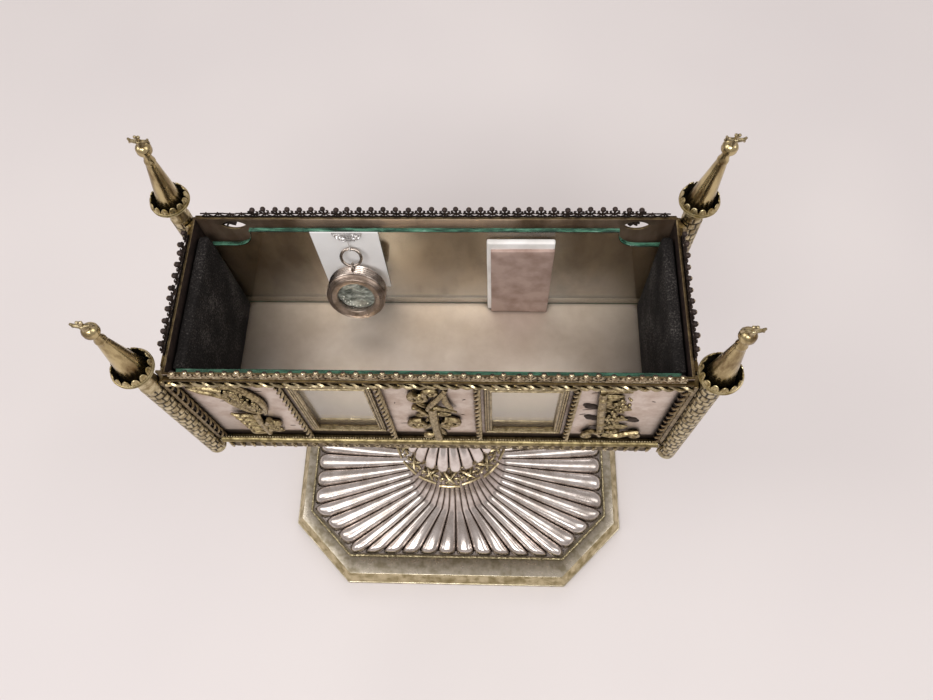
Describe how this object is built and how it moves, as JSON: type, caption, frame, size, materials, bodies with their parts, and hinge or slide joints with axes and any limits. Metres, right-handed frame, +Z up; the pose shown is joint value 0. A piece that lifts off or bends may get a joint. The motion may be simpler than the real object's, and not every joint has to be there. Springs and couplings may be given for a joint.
{
  "type": "reliquary casket on foot",
  "caption": "Shrine-shaped reliquary casket of silver and gilt metal with glazed windows and corner turrets, open at the top, on a gadrooned stem and octagonal foot.",
  "frame": {"origin": "centre of the foot's underside, on the surface it stands on", "axes": "+Z up, +X to the right seen from the front with the windows, +Y towards the back"},
  "size_m": [0.3228, 0.2146, 0.4618],
  "materials": {
    "silver": "polished silver, hand raised",
    "capsule_silver": "worn silver",
    "tarnished_silver": "tarnished silver sheet",
    "satin_silver": "satin silver sheet",
    "foot_border": "worn gilt over silver",
    "gilt": "gilt brass with dark recesses",
    "iron": "black iron",
    "glass": "clear, green at the edges",
    "felt": "black felt",
    "board": "plain softwood",
    "relic_paper": "grey paper work",
    "white_card": "smooth white card",
    "old_paper": "aged pinkish paper",
    "seal_foil": "glittering foil"
  },
  "bodies": {
    "casket": {"back_ropes": "gilt", "back_wall": "tarnished_silver", "base_bead_wire": "gilt", "base_plate": "tarnished_silver", "base_scallops": "gilt", "base_torus": "gilt", "corner_saddles": "gilt", "cornice_fillet": "gilt", "cornice_rope": "gilt", "finials": "gilt", "floor_board": "board", "floor_sheet": "satin_silver", "foliage_collar": "gilt", "foot_dome": "silver", "foot_rim": "foot_border", "foot_rope_wire": "gilt", "front_ropes": "gilt", "front_wall": "silver", "gallery_back": "gilt", "gallery_front": "gilt", "gallery_left": "gilt", "gallery_right": "gilt", "knop": "silver", "left_ornament": "gilt", "left_pad": "felt", "left_wall": "tarnished_silver", "left_window_frame": "gilt", "middle_ornament": "gilt", "parapet_back_left": "gilt", "parapet_back_right": "gilt", "parapet_front_left": "gilt", "parapet_front_right": "gilt", "right_ornament": "gilt", "right_pad": "felt", "right_wall": "tarnished_silver", "right_window_frame": "gilt", "rod_nuts": "iron", "spire_back_left": "gilt", "spire_back_right": "gilt", "spire_front_left": "gilt", "spire_front_right": "gilt", "stem_washer": "iron", "support_plate": "tarnished_silver", "tie_rod": "iron", "tower_tube_back_left": "gilt", "tower_tube_back_right": "gilt", "tower_tube_front_left": "gilt", "tower_tube_front_right": "gilt", "upper_neck": "silver"},
    "front_pane": {"front_pane": "glass"},
    "back_pane": {"back_pane": "glass", "hanging_wire": "capsule_silver", "label_card": "white_card", "card_seal": "seal_foil"},
    "ring": {"capsule_ring": "capsule_silver"},
    "capsule": {"capsule_case": "capsule_silver", "relic_bed": "relic_paper", "capsule_bezel": "capsule_silver", "capsule_crystal": "glass"},
    "packet": {"relic_packet": "old_paper"}
  },
  "joints": [
    {"name": "front_pane_lift", "type": "slide", "parent": "casket", "child": "front_pane", "axis": [0, 0, 1], "range_m": [0, 0.165]},
    {"name": "back_pane_lift", "type": "slide", "parent": "casket", "child": "back_pane", "axis": [0, 0, 1], "range_m": [0, 0.165]},
    {"name": "ring_swing", "type": "hinge", "parent": "back_pane", "child": "ring", "pos_m": [-0.0504, 0.03937, 0.37425], "axis": [-1, 0, 0], "range_deg": [0, 60]},
    {"name": "capsule_swing", "type": "hinge", "parent": "ring", "child": "capsule", "pos_m": [-0.0504, 0.03421, 0.36319], "axis": [-1, 0, 0], "range_deg": [0, 45]},
    {"name": "packet_lift", "type": "slide", "parent": "casket", "child": "packet", "axis": [0, 0, 1], "range_m": [0, 0.165]}
  ]
}
